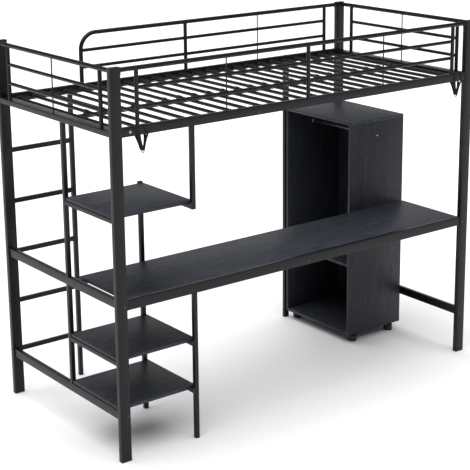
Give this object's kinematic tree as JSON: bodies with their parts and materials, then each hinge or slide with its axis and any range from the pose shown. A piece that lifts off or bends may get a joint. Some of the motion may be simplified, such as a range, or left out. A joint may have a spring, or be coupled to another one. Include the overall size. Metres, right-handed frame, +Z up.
{
  "type": "loft bed with desk",
  "caption": "Tubular steel loft bed with guard rails, slats and a ladder over a long desk, open shelves and an open wardrobe.",
  "frame": {"origin": "on the floor, under the middle of the bed", "axes": "+Z up, +X along the bed from the ladder end to the wardrobe end, +Y from the desk's front edge to the back"},
  "size_m": [2.0825, 0.97, 1.705],
  "materials": {
    "frame_steel": "black powder coat, fine texture, satin",
    "board": "black melamine board with an embossed wood grain",
    "plastic": "moulded black plastic",
    "webbing": "black nylon webbing, plain weave",
    "fastener": "black zinc plated",
    "rail_chrome": "bright chrome plated"
  },
  "bodies": {
    "root": {"left_upper_frame": "frame_steel", "right_upper_frame": "frame_steel", "front_left_leg": "frame_steel", "back_left_leg": "frame_steel", "front_right_leg": "frame_steel", "back_right_leg": "frame_steel", "post_sleeves": "frame_steel", "post_top_caps": "plastic", "post_foot_caps": "plastic", "thin_post_foot_caps": "plastic", "front_side_rail": "frame_steel", "back_side_rail": "frame_steel", "cross_bearers": "frame_steel", "slats": "frame_steel", "slat_end_cups": "plastic", "centre_bar": "frame_steel", "centre_clips": "plastic", "front_guard": "frame_steel", "back_guard": "frame_steel", "ladder_upright": "frame_steel", "rung_1": "frame_steel", "rung_2": "frame_steel", "rung_3": "frame_steel", "rung_4": "frame_steel", "rung_5": "frame_steel", "back_middle_post": "frame_steel", "left_bottom_crossbar": "frame_steel", "right_bottom_crossbar": "frame_steel", "left_desk_crossbar": "frame_steel", "right_desk_crossbar": "frame_steel", "left_middle_post_lower": "frame_steel", "left_middle_post_upper": "frame_steel", "tower_back_post": "frame_steel", "tower_front_post": "frame_steel", "tower_hanging_post": "frame_steel", "shelf_bearers": "frame_steel", "desk_front_beam": "frame_steel", "desk_back_beam": "frame_steel", "desk_braces": "frame_steel", "desk_top": "board", "upper_shelf": "board", "middle_shelf": "board", "bottom_shelf": "board", "wardrobe_near_panel": "board", "wardrobe_far_panel": "board", "wardrobe_top": "board", "wardrobe_bottom": "board", "wardrobe_back": "board", "wardrobe_shelf": "board", "clothes_rail": "rail_chrome", "clothes_rail_cups": "rail_chrome", "wardrobe_feet": "plastic", "anchor_strap_left": "webbing", "anchor_strap_right": "webbing", "strap_rings": "fastener", "frame_bolts": "fastener", "rail_bolts": "fastener", "rung_bolts": "fastener", "post_bolts": "fastener", "desk_screws": "fastener"}
  },
  "joints": []
}
